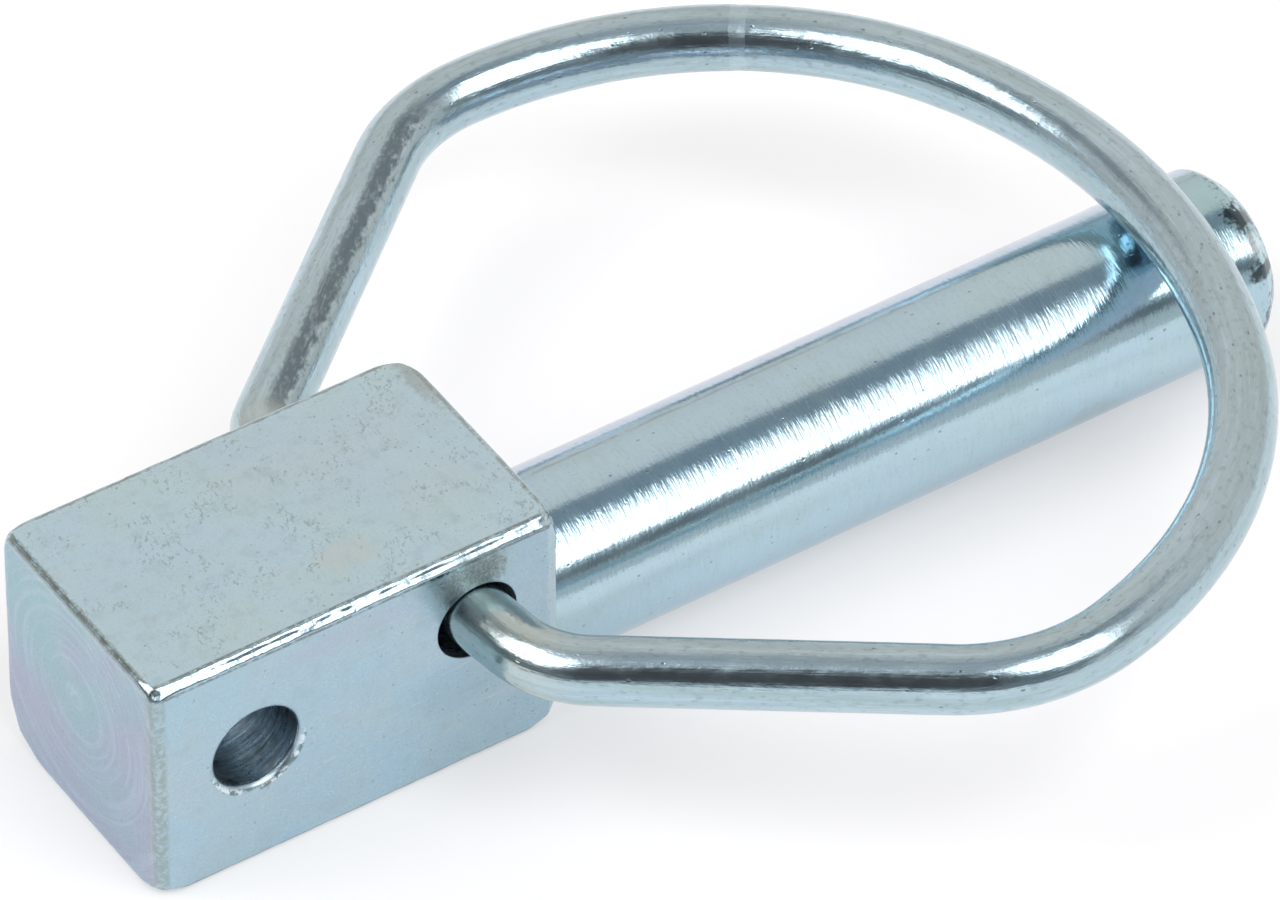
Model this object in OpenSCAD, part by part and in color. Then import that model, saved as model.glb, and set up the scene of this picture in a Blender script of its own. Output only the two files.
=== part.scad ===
// Lynch pin: a square-headed pin with a turned, offset shank and a sprung
// D-shaped wire ring that swings through the head and closes on the shank.
// Millimetres. The origin is on the shank's axis, in the plane of the
// shoulder. +X runs to the tip, +Z is up, and the pin lies on its head.

/* [Head] */
// Length of the square head
head_len = 26.5; // [24:0.5:32]
// Width and height of the square bar
bar = 15.9; // [15:0.1:17]
// Rounding of the long edges and of the back end's edges
edge_r = 0.3; // [0.2:0.1:1]
// Rounding of the edges around the shoulder
shoulder_r = 0.3; // [0.1:0.1:0.6]
// How far the eight corners are turned back
corner_cut = 1.4; // [0.8:0.1:2]

/* [Shank] */
// Diameter of the turned shank
shank_d = 11.2; // [10:0.1:11.2]
// Length of the shank from the shoulder to the tip
shank_len = 50.8; // [46:0.1:60]
// How far the shank's axis lies to the near side of the bar's axis
offset_side = 1.8; // [0.6:0.1:1.9]
// How far the shank's axis lies below the bar's axis
offset_down = 2.2; // [2.2:0.05:2.3]
// Chamfer at the tip
tip_chamfer = 1.2; // [0.6:0.1:2]
// Rounding where the chamfer meets the shank and the end face
tip_blend = 0.8; // [0.2:0.1:1]
// Fillet at the root of the shank
root_r = 0.4; // [0.2:0.1:0.6]

/* [Holes] */
// Diameter of the cross hole that the ring swings in
ring_hole_d = 5.2; // [5.1:0.1:5.6]
// Distance of the near mouth of the ring's hole behind the shoulder
ring_hole_back = 5.31; // [5.3:0.01:5.35]
// Height of the near mouth of the ring's hole above the bar's axis
ring_hole_up = 2.61; // [2.6:0.01:2.7]
// Slant of the ring's hole in plan, backwards to the far side
ring_hole_slant = 5.8; // [5.7:0.1:5.9]
// Fall of the ring's hole to the far side
ring_hole_fall = 3.3; // [3.2:0.1:3.4]
// Diameter of the cross hole for a tether
tether_hole_d = 5.5; // [4:0.1:7]
// Distance of the tether hole behind the shoulder
tether_back = 19.8; // [18:0.1:20]
// Height of the tether hole above the bar's axis
tether_up = 0.4; // [-1:0.1:1]
// Chamfer at the mouths of the ring's hole
ring_hole_break = 0.15; // [0.15:0.05:0.5]
// Chamfer at the mouths of the tether hole
tether_break = 0.45; // [0.1:0.05:0.8]

/* [Ring wire] */
// Diameter of the spring wire
wire_d = 4; // [3.6:0.1:4.1]
// Reach of the crown from the ring's base line
ring_reach = 49.5; // [48:0.1:50]
// Angle where the wide corner arcs meet the crown
ring_t3 = 65.3; // [62:0.1:68]

/* [Ring, near side] */
// Half width of the ring where the near leg's line meets the base line
near_w = 13.44; // [13.3:0.01:13.6]
// How far the near corner lies ahead of the base line
near_ahead = 0.46; // [0.4:0.01:0.5]
// Bend radius beside the head on the near side
near_r1 = 6.7; // [6:0.1:7]
// Slope of the near leg
near_b = 40.2; // [39:0.1:41]
// Radius of the near shoulder bend
near_r2 = 11.4; // [10:0.1:13]
// Angle at the end of the near shoulder bend
near_t2 = 10.3; // [8:0.1:12]
// Radius of the near corner arc
near_r3 = 25.8; // [24:0.1:27]

/* [Ring, far side] */
// Half width of the ring where the far leg's line meets the base line
far_w = 13.49; // [13.4:0.01:13.6]
// How far the far corner lies behind the base line
far_behind = 1.9; // [1.8:0.01:2]
// Bend radius beside the head on the far side
far_r1 = 3; // [2.9:0.1:3.1]
// Slope of the far leg
far_b = 39.5; // [39:0.1:41]
// Radius of the far shoulder bend
far_r2 = 9.9; // [9:0.1:12]
// Angle at the end of the far shoulder bend
far_t2 = 3.5; // [2:0.1:6]
// Radius of the far corner arc
far_r3 = 26.6; // [25:0.1:27.5]

/* [Ring at rest] */
// Distance of the ring's base line behind the shoulder
ring_back = 5.4; // [5.3:0.01:5.5]
// Height of the ring's base line above the bar's axis
ring_up = 2.7; // [2.65:0.01:2.75]
// Lift of the crown, where the ring rests on the shank
ring_pitch = 3.1; // [3.1:0.05:4]
// Lean of the ring to the far side
ring_lean = 3; // [2.6:0.1:3.1]
// Turn of the crown to the far side
ring_yaw = 0.7; // [0:0.1:1]
// Sideways place of the ring, to the near side
ring_shift = 0.13; // [0:0.01:0.3]

/* [Hidden] */
$fn = 96;
shank_r = shank_d / 2;
wire_r = wire_d / 2;
draw = 0.02;
lap = 0.15;
head_y = offset_side;
head_z = offset_down;
half_bar = bar / 2;
corner_r = sqrt(2) * (half_bar - edge_r) + edge_r;
barrel_r = corner_r - corner_cut;
near_mouth = [-ring_hole_back, head_y - half_bar, head_z + ring_hole_up];
tether = [-tether_back, head_y, head_z + tether_up];

// A rectangle from (x0, y0) to (x1, y1) with its left corners rounded by rl
// and its right corners by rr.
module rounded_rect(x0, x1, y0, y1, rl, rr) {
    translate([x0 + rl, y0]) square([x1 - x0 - rl - rr, y1 - y0]);
    translate([x0, y0 + rl]) square([rl + 0.01, y1 - y0 - 2 * rl]);
    translate([x1 - rr - 0.01, y0 + rr]) square([rr + 0.01, y1 - y0 - 2 * rr]);
    for (y = [y0 + rl, y1 - rl]) translate([x0 + rl, y]) circle(rl);
    for (y = [y0 + rr, y1 - rr]) translate([x1 - rr, y]) circle(rr);
}

// The square bar's section, run along X from x0 to x1.
module bar_prism(x0, x1)
    translate([x0, head_y, head_z]) rotate([90, 0, 90])
        linear_extrude(x1 - x0)
            rounded_rect(-half_bar, half_bar, -half_bar, half_bar, edge_r, edge_r);

// The head: the bar's section met by the rounded side and top outlines, with
// the corners turned back by a 45 degree cone at each end.
module head_block() {
    intersection() {
        bar_prism(-head_len, 0);
        translate([0, head_y + bar, head_z]) rotate([90, 0, 0]) linear_extrude(2 * bar)
            rounded_rect(-head_len, 0, -half_bar, half_bar, edge_r, shoulder_r);
        translate([0, head_y, head_z - bar]) linear_extrude(2 * bar)
            rounded_rect(-head_len, 0, -half_bar, half_bar, edge_r, shoulder_r);
        translate([-head_len, head_y, head_z]) rotate([0, 90, 0]) rotate_extrude()
            polygon([[0, 0], [barrel_r, 0], [barrel_r + 3, 3],
                     [barrel_r + 3, head_len - 3], [barrel_r, head_len], [0, head_len]]);
    }
}

// Points of an arc about (cx, cy) from angle a0 to a1.
function arc_points(cx, cy, r, a0, a1, n) =
    [for (k = [0:n]) let (a = a0 + (a1 - a0) * k / n) [cx + r * cos(a), cy + r * sin(a)]];

// The shank, from a little inside the head to the tip. Its 45 degree chamfer
// runs into the wall and into the end face through small arcs.
module shank() {
    t = tip_blend * tan(22.5);
    rotate([0, 90, 0]) rotate_extrude()
        polygon(concat(
            [[0, -1], [shank_r, -1]],
            arc_points(shank_r - tip_blend, shank_len - tip_chamfer - t, tip_blend, 0, 45, 4),
            arc_points(shank_r - tip_chamfer - t, shank_len - tip_blend, tip_blend, 45, 90, 4),
            [[0, shank_len]]));
}

// The fillet at the shank's root, held inside the bar that it is turned from.
module root_fillet()
    intersection() {
        bar_prism(-0.9, root_r);
        rotate([0, 90, 0]) rotate_extrude() difference() {
            translate([shank_r - 1, -0.9]) square([1 + root_r, 0.9 + root_r]);
            translate([shank_r + root_r, root_r]) circle(root_r);
        }
    }

// A break at the mouth of a hole of diameter d, in the side face that side
// names: -1 near, 1 far. x and z are the mouth's place. Its cone starts well
// inside the bore and comes out through the face.
module mouth_break(x, z, d, c, side)
    translate([x, head_y + side * (half_bar - c - 1), z]) rotate([-90 * side, 0, 0])
        cylinder(d1 = d - 2, d2 = d + 2 * c + 2, h = c + 2);

// The tether hole, square across the head.
module tether_hole() {
    translate(tether) rotate([90, 0, 0]) cylinder(d = tether_hole_d, h = bar + 2, center = true);
    for (s = [-1, 1]) mouth_break(tether[0], tether[2], tether_hole_d, tether_break, s);
}

// The ring's hole is drilled askew, so the ring has to be sprung over the tip.
module ring_hole() {
    far_x = near_mouth[0] - bar * tan(ring_hole_slant);
    far_z = near_mouth[2] - bar * tan(ring_hole_fall) / cos(ring_hole_slant);
    translate(near_mouth) rotate([-ring_hole_fall, 0, ring_hole_slant]) rotate([-90, 0, 0])
        translate([0, 0, -2]) cylinder(d = ring_hole_d, h = bar + 4.5);
    mouth_break(near_mouth[0], near_mouth[2], ring_hole_d, ring_hole_break, -1);
    mouth_break(far_x, far_z, ring_hole_d, ring_hole_break, 1);
}

module pin()
    color([0.72, 0.75, 0.78])
    difference() {
        union() {
            head_block();
            shank();
            root_fillet();
        }
        ring_hole();
        tether_hole();
    }

// One side of the ring, in the ring's own plane: x from the base line to the
// crown, y outwards. w is where the leg's line meets the base line, b the
// leg's slope, r2 and t2 the bend at its end, r3 the wide corner. The end of
// the leg, measured along it from the base line, and the crown's radius follow
// from the reach, so the two sides meet square at the crown.
function leg_end(w, b, r2, t2, r3) =
    let (k1 = w + r2 * (cos(t2) - cos(b)) + r3 * (cos(ring_t3) - cos(t2)),
         k2 = r2 * (sin(b) + sin(t2)) + r3 * (sin(ring_t3) - sin(t2)),
         det = sin(b) * (1 - sin(ring_t3)) + cos(ring_t3) * cos(b))
    (-k1 * (1 - sin(ring_t3)) + cos(ring_t3) * (ring_reach - k2)) / det;
function crown_rad(w, b, r2, t2, r3) =
    let (k1 = w + r2 * (cos(t2) - cos(b)) + r3 * (cos(ring_t3) - cos(t2)),
         k2 = r2 * (sin(b) + sin(t2)) + r3 * (sin(ring_t3) - sin(t2)),
         det = sin(b) * (1 - sin(ring_t3)) + cos(ring_t3) * cos(b))
    (sin(b) * (ring_reach - k2) + k1 * cos(b)) / det;

// The sharp corners where the run through the head would meet the two legs,
// the run's slant in the ring's plane, and the length that each bend takes
// off the run.
near_corner = [near_ahead, -(near_w + near_ahead * tan(near_b))];
far_corner = [-far_behind, far_w - far_behind * tan(far_b)];
run = far_corner - near_corner;
run_slant = atan2(-run[0], run[1]);
near_cut = near_r1 * tan((90 - run_slant - near_b) / 2);
far_cut = far_r1 * tan((90 + run_slant - far_b) / 2);

// A round wire arc about point c, for headings from h0 down to h1, carried on
// by e0 and e1 past its two ends.
module wire_arc(c, r, h0, h1, rad, e0, e1) {
    d0 = asin(e0 / r);
    d1 = asin(e1 / r);
    translate([c[0], c[1], 0]) rotate([0, 0, h1 - d1 + 90])
        rotate_extrude(angle = h0 + d0 - h1 + d1) translate([r, 0]) circle(rad, $fn = 48);
}

// The bends are drawn down by a hundredth or two as they stretch, and each
// runs a little way into the thicker stretch beside it. u is the corner's
// place along x and h the heading of the run as it comes out to this side.
module ring_side(w, b, u, r1, r2, t2, r3, h, crown_thin, crown_lap) {
    e = leg_end(w, b, r2, t2, r3);
    r4 = crown_rad(w, b, r2, t2, r3);
    s = u / cos(b) + r1 * tan((h - b) / 2);
    p1 = [s * cos(b), w + s * sin(b)];
    p2 = [e * cos(b), w + e * sin(b)];
    c1 = p1 + r1 * [sin(b), -cos(b)];
    c2 = p2 + r2 * [sin(b), -cos(b)];
    p3 = c2 + r2 * [sin(t2), cos(t2)];
    c3 = p3 + r3 * [-sin(t2), -cos(t2)];
    wire_arc(c1, r1, h, b, wire_r - draw, lap, lap);
    translate([p1[0], p1[1], 0]) rotate([0, 0, b]) rotate([0, 90, 0])
        cylinder(r = wire_r, h = e - s, $fn = 48);
    wire_arc(c2, r2, b, -t2, wire_r - draw, lap, lap);
    wire_arc(c3, r3, -t2, -ring_t3, wire_r, 0, 0);
    wire_arc([ring_reach - r4, 0], r4, -ring_t3, -90, wire_r - crown_thin * draw, lap, crown_lap);
}

// The straight run through the head, between the two bends beside it.
module ring_run()
    translate([near_corner[0], near_corner[1], 0]) rotate([0, 0, 90 + run_slant])
        translate([near_cut, 0, 0]) rotate([0, 90, 0])
            cylinder(r = wire_r, h = norm(run) - near_cut - far_cut, $fn = 48);

module ring()
    color([0.66, 0.69, 0.71])
    translate([-ring_back, head_y - ring_shift, head_z + ring_up])
    rotate([0, -ring_pitch, 0]) rotate([-ring_lean, 0, 0]) rotate([0, 0, ring_yaw]) {
        ring_run();
        ring_side(far_w, far_b, -far_behind, far_r1, far_r2, far_t2, far_r3, 90 + run_slant, 1, 0);
        mirror([0, 1, 0])
            ring_side(near_w, near_b, near_ahead, near_r1, near_r2, near_t2, near_r3, 90 - run_slant, 2, lap);
    }

pin();
ring();
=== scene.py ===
"""Lynch pin: the zinc-plated look of the pin and its wire ring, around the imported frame."""

import math

import bpy
import numpy as np
from mathutils import Matrix, Vector


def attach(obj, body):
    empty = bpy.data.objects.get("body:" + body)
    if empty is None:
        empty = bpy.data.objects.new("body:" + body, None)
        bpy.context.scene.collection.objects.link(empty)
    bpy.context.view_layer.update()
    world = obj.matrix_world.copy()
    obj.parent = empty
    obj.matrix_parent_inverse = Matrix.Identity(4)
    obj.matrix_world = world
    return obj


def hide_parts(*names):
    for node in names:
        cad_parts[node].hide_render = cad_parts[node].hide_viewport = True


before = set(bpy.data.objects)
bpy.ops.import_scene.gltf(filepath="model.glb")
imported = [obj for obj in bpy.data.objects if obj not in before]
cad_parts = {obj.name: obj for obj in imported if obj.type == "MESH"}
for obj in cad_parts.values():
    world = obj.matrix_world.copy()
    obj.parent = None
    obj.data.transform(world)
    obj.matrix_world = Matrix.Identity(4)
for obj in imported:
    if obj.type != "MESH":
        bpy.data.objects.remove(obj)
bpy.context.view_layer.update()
MM = 0.001

# ---------------------------------------------------------------- helpers


def lattice(ix, iy, iz, seed):
    """A repeatable value from -1 to 1 for each whole-number corner."""
    h = (ix * 73856093) ^ (iy * 19349663) ^ (iz * 83492791) ^ (seed * 40503)
    h = h & 0xFFFFFFFF
    h = ((h ^ (h >> 15)) * 73244475) & 0xFFFFFFFF
    h = ((h ^ (h >> 13)) * 73244475) & 0xFFFFFFFF
    h = h ^ (h >> 16)
    return (h & 0xFFFFFF) / float(0x7FFFFF) - 1.0


def noise(p, size, seed):
    """Smooth noise from -1 to 1 over points p, with features of about that size."""
    q = np.asarray(p, float) / size
    i = np.floor(q).astype(np.int64)
    f = q - i
    f = f * f * (3 - 2 * f)
    out = np.zeros(len(q))
    for a in (0, 1):
        for b in (0, 1):
            for c in (0, 1):
                w = (f[:, 0] if a else 1 - f[:, 0]) * (f[:, 1] if b else 1 - f[:, 1]) * (f[:, 2] if c else 1 - f[:, 2])
                out += w * lattice(i[:, 0] + a, i[:, 1] + b, i[:, 2] + c, seed)
    return out


def smooth(x):
    x = np.clip(x, 0, 1)
    return x * x * (3 - 2 * x)


def mesh_object(name, verts, faces):
    """A mesh from points in millimetres."""
    me = bpy.data.meshes.new(name)
    me.from_pydata([tuple(v) for v in np.asarray(verts) * MM], [], [tuple(f) for f in faces])
    me.validate()
    me.update()
    ob = bpy.data.objects.new(name, me)
    bpy.context.scene.collection.objects.link(ob)
    return ob


def lathe(name, profile, sides, place):
    """A closed solid turned about its own x axis. profile is (x, r) from axis to axis;
    place turns the (x, y, z) points into the part's frame."""
    a = np.arange(sides) * 2 * np.pi / sides
    verts, rings = [], []
    for x, r in profile:
        if r < 1e-6:
            rings.append([len(verts)])
            verts.append((x, 0.0, 0.0))
        else:
            rings.append(list(range(len(verts), len(verts) + sides)))
            verts.extend(zip([x] * sides, r * np.cos(a), r * np.sin(a)))
    faces = []
    for p, q in zip(rings[:-1], rings[1:]):
        for k in range(sides):
            m = (k + 1) % sides
            if len(p) == 1:
                faces.append((p[0], q[m], q[k]))
            elif len(q) == 1:
                faces.append((p[k], p[m], q[0]))
            else:
                faces.append((p[k], p[m], q[m], q[k]))
    return mesh_object(name, place(np.array(verts)), faces)


def cut(ob, other, how):
    mod = ob.modifiers.new("cut", "BOOLEAN")
    mod.operation = how
    mod.solver = "EXACT"
    mod.object = other
    deps = bpy.context.evaluated_depsgraph_get()
    me = bpy.data.meshes.new_from_object(ob.evaluated_get(deps))
    ob.modifiers.clear()
    old = ob.data
    ob.data = me
    bpy.data.meshes.remove(old)
    bpy.data.objects.remove(other)


# ---------------------------------------------------------------- pin: the head

HEAD_C = np.array([-13.25, 1.8, 2.2])
HALF = np.array([13.25, 7.95, 7.95])


def ticks(half):
    """Places along one side of the head: close together at the rounded ends."""
    near = [0, 0.1, 0.2, 0.3, 0.4, 0.5, 0.6, 0.75, 0.9, 1.1, 1.3, 1.55, 1.8, 2.1, 2.45, 2.8]
    n = int(round((2 * half - 2 * near[-1]) / 0.28))
    mid = np.linspace(-half + near[-1], half - near[-1], n + 1)[1:-1]
    return np.concatenate([[-half + t for t in near], mid, [half - t for t in reversed(near)]])


def corner_radius(sx, sy, sz):
    """The corners were knocked back by different amounts."""
    top, near, back = sz > 0, sy < 0, sx < 0
    table = {
        (True, True, True): 0.72, (True, True, False): 0.95,
        (True, False, True): 0.75, (True, False, False): 1.15,
        (False, True, True): 1.15, (False, True, False): 1.15,
        (False, False, True): 1.9, (False, False, False): 1.3,
    }
    return table[(top, near, back)]


def head_points(q):
    """Moves points of a sharp box onto the rounded head."""
    to_shoulder = HALF[0] - q[:, 0]
    # the long edges are sharp, apart from the two at the near top and the near back
    top, near, back = HALF[2] - q[:, 2], q[:, 1] + HALF[1], q[:, 0] + HALF[0]
    r = 0.27 + 0.36 * smooth(1 - np.hypot(top, near) / 1.9) * smooth((to_shoulder - 0.2) / 1.4)
    r = r + 0.16 * smooth(1 - np.hypot(near, back) / 1.8) + 0.08 * smooth(1 - np.hypot(top, back) / 1.6)
    r = r * (1 + 0.10 * noise(q, 1.7, 3) + 0.10 * noise(q, 0.62, 4))
    for sx in (-1, 1):
        for sy in (-1, 1):
            for sz in (-1, 1):
                rc = corner_radius(sx, sy, sz)
                d = np.linalg.norm(q - HALF * np.array([sx, sy, sz]), axis=1)
                w = smooth(1 - d / (1.9 * rc))
                r = r + w * np.maximum(rc - r, 0)
    lim = HALF - r[:, None]
    inner = np.clip(q, -lim, lim)
    d = q - inner
    n = d / np.maximum(np.linalg.norm(d, axis=1), 1e-9)[:, None]
    edge = 1 - np.abs(n).max(axis=1)
    dip = 0.004 * (1 + noise(q, 3.4, 7)) + 0.016 * smooth(edge * 8) * np.maximum(noise(q, 0.5, 8), 0)
    # the near top edge was broken with a flat before plating
    dip = dip + 0.13 * r * np.where((n[:, 1] < 0) & (n[:, 2] > 0), 4 * (n[:, 1] * n[:, 2]) ** 2, 0)
    return inner + n * (r - dip)[:, None]


def make_head():
    t = [ticks(h) for h in HALF]
    verts, faces, index = [], [], {}

    def vid(p):
        key = tuple(np.round(p, 4))
        if key not in index:
            index[key] = len(verts)
            verts.append(p)
        return index[key]

    for axis in range(3):
        u, v = (axis + 1) % 3, (axis + 2) % 3
        for side in (-1, 1):
            grid = []
            for a in t[u]:
                row = []
                for b in t[v]:
                    p = [0.0, 0.0, 0.0]
                    p[axis], p[u], p[v] = side * HALF[axis], float(a), float(b)
                    row.append(vid(p))
                grid.append(row)
            for i in range(len(t[u]) - 1):
                for j in range(len(t[v]) - 1):
                    f = [grid[i][j], grid[i + 1][j], grid[i + 1][j + 1], grid[i][j + 1]]
                    faces.append(f if side > 0 else f[::-1])
    return mesh_object("lynch_pin", head_points(np.array(verts)) + HEAD_C, faces)


# ---------------------------------------------------------------- pin: the shank

def shank_profile():
    out = [(-1.0, 0.0), (-1.0, 5.4), (-0.3, 5.5), (-0.06, 5.93)]
    for a in np.radians([12, 30, 50, 70, 90]):
        out.append((0.4 - 0.4 * math.cos(a), 6.0 - 0.4 * math.sin(a)))
    x = 0.4
    while x < 48.9:
        x += 0.3
        out.append((x, 5.6))
    for a in np.radians([0, 9, 18, 27, 36, 45]):
        out.append((49.269 + 0.8 * math.sin(a), 4.8 + 0.8 * math.cos(a)))
    for a in np.radians([45, 54, 63, 72, 81, 90]):
        out.append((50.0 + 0.8 * math.sin(a), 4.069 + 0.8 * math.cos(a)))
    for r in (3.6, 3.0, 2.4, 1.8, 1.2, 0.6, 0.0):
        out.append((50.8, r))
    return out


def shank_place(p):
    r = np.hypot(p[:, 1], p[:, 2])
    out = p.copy()
    body = smooth((p[:, 0] - 0.5) / 0.5) * (r > 0.1)
    dip = body * (0.004 * (1 + noise(p, 6.0, 21)) + 0.003 * (1 + noise(p * np.array([1, 0.15, 0.15]), 0.7, 22)))
    rim = smooth((p[:, 0] - 49.0) / 0.6) * (r > 3.9)
    dip = dip + rim * 0.05 * (1 + noise(p, 1.3, 23)) * 0.5
    k = np.where(r > 1e-6, (r - dip) / np.maximum(r, 1e-6), 1.0)
    out[:, 1] *= k
    out[:, 2] *= k
    out[:, 0] -= (p[:, 0] > 50.7) * 0.006 * (1 + noise(p, 1.6, 24))
    out[:, 2] = np.maximum(out[:, 2], -5.72)
    return out


def hole_cutter(name, x, z, d, c, slope=(0.0, 0.0)):
    """A bar through the head whose two ends flare out to round the mouths. It runs along y
    from (x, z) in the near face, and slope says how far it goes off in x and z."""
    side = []
    for a in np.radians([0, 20, 40, 60, 78]):
        side.append((7.95 - c + c * math.sin(a), d / 2 + c * (1 - math.cos(a))))
    (x0, r0), (x1, r1) = side[-2], side[-1]
    side.append((x1 + (x1 - x0) * 3, r1 + (r1 - r0) * 3))
    side.append((x1 + 1.5, r1 + (r1 - r0) * 3))
    run = [(float(t), d / 2) for t in np.linspace(-7.0, 7.0, 29)]
    prof = [(-9.6, 0.0)] + [(-a, b) for a, b in reversed(side)] + run + side + [(9.6, 0.0)]
    prof[0] = (prof[1][0], 0.0)
    prof[-1] = (prof[-2][0], 0.0)

    def place(p):
        # own x runs along -y of the part, keeping the solid right side out
        y = 1.8 - p[:, 0]
        return np.stack([x + p[:, 1] + slope[0] * (y + 6.15), y, z + p[:, 2] + slope[1] * (y + 6.15)], axis=1)

    return lathe(name, prof, 112, place)


# x and z of each hole in the near face, its diameter, its mouth's radius, and its slope in x and z
RING_HOLE = (-5.31, 4.81, 5.2, 0.12, (-0.1016, -0.0580))
TETHER_HOLE = (-19.8, 2.6, 5.5, 0.42, (0.0, 0.0))

pin = make_head()
cut(pin, lathe("shank", shank_profile(), 144, shank_place), "UNION")
cut(pin, hole_cutter("ring_hole", *RING_HOLE), "DIFFERENCE")
cut(pin, hole_cutter("tether_hole", *TETHER_HOLE), "DIFFERENCE")
pin.name = "lynch_pin"

# ---------------------------------------------------------------- ring: the wire's path

REACH, T3 = 49.5, math.radians(65.3)
# w, leg slope, bend radius and slope at the leg's end, wide corner's radius
FAR = (13.49, 39.5, 9.9, 3.5, 26.6)
NEAR = (13.44, 40.2, 11.4, 10.3, 25.8)
# where the run through the head would meet each leg, in the ring's plane
FAR_CORNER = (-1.9, 13.49 - 1.9 * math.tan(math.radians(39.5)))
NEAR_CORNER = (0.46, 13.44 + 0.46 * math.tan(math.radians(40.2)))
SLANT = math.atan2(NEAR_CORNER[0] - FAR_CORNER[0], FAR_CORNER[1] + NEAR_CORNER[1])
RUN = math.hypot(NEAR_CORNER[0] - FAR_CORNER[0], FAR_CORNER[1] + NEAR_CORNER[1])


def side_path(w, b, r2, t2, r3, corner, r1, h0, half, step=0.26):
    """Half of the ring in its own plane: (along, out, heading, bend), from the middle of the
    straight run that leaves the head with heading h0, to the crown."""
    b, t2 = math.radians(b), math.radians(t2)
    t3 = T3
    k1 = w + r2 * (math.cos(t2) - math.cos(b)) + r3 * (math.cos(t3) - math.cos(t2))
    k2 = r2 * (math.sin(b) + math.sin(t2)) + r3 * (math.sin(t3) - math.sin(t2))
    det = math.sin(b) * (1 - math.sin(t3)) + math.cos(t3) * math.cos(b)
    end = (-k1 * (1 - math.sin(t3)) + math.cos(t3) * (REACH - k2)) / det
    r4 = (math.sin(b) * (REACH - k2) + k1 * math.cos(b)) / det
    out = []

    def straight(p, h, length):
        n = max(2, int(round(length / step)))
        for k in range(n):
            s = length * k / n
            out.append((p[0] + s * math.cos(h), p[1] + s * math.sin(h), h, 0.0))

    def arc(c, r, h0, h1):
        n = max(3, int(round(r * abs(h0 - h1) / step)))
        for k in range(n):
            h = h0 + (h1 - h0) * k / n
            out.append((c[0] - r * math.sin(h), c[1] + r * math.cos(h), h, 1.0 / r))

    cut_off = r1 * math.tan((h0 - b) / 2)
    start = (corner[0] - half * math.cos(h0), corner[1] - half * math.sin(h0))
    straight(start, h0, half - cut_off)
    s1 = (corner[0] - cut_off * math.cos(h0), corner[1] - cut_off * math.sin(h0))
    arc((s1[0] + r1 * math.sin(h0), s1[1] - r1 * math.cos(h0)), r1, h0, b)
    p1 = (corner[0] + cut_off * math.cos(b), corner[1] + cut_off * math.sin(b))
    p2 = (end * math.cos(b), w + end * math.sin(b))
    straight(p1, b, math.hypot(p2[0] - p1[0], p2[1] - p1[1]))
    c2 = (p2[0] + r2 * math.sin(b), p2[1] - r2 * math.cos(b))
    arc(c2, r2, b, -t2)
    p3 = (c2[0] + r2 * math.sin(t2), c2[1] + r2 * math.cos(t2))
    c3 = (p3[0] - r3 * math.sin(t2), p3[1] - r3 * math.cos(t2))
    arc(c3, r3, -t2, -t3)
    arc((REACH - r4, 0), r4, -t3, -math.pi / 2)
    out.append((REACH, 0.0, -math.pi / 2, 1.0 / r4))
    return out


def turn(axis, deg):
    return np.array(Matrix.Rotation(math.radians(deg), 3, axis))


RING_AT = turn("Y", -3.1) @ turn("X", -3.0) @ turn("Z", 0.7)
HINGE = np.array([-5.4, 1.8 - 0.13, 4.9])


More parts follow.
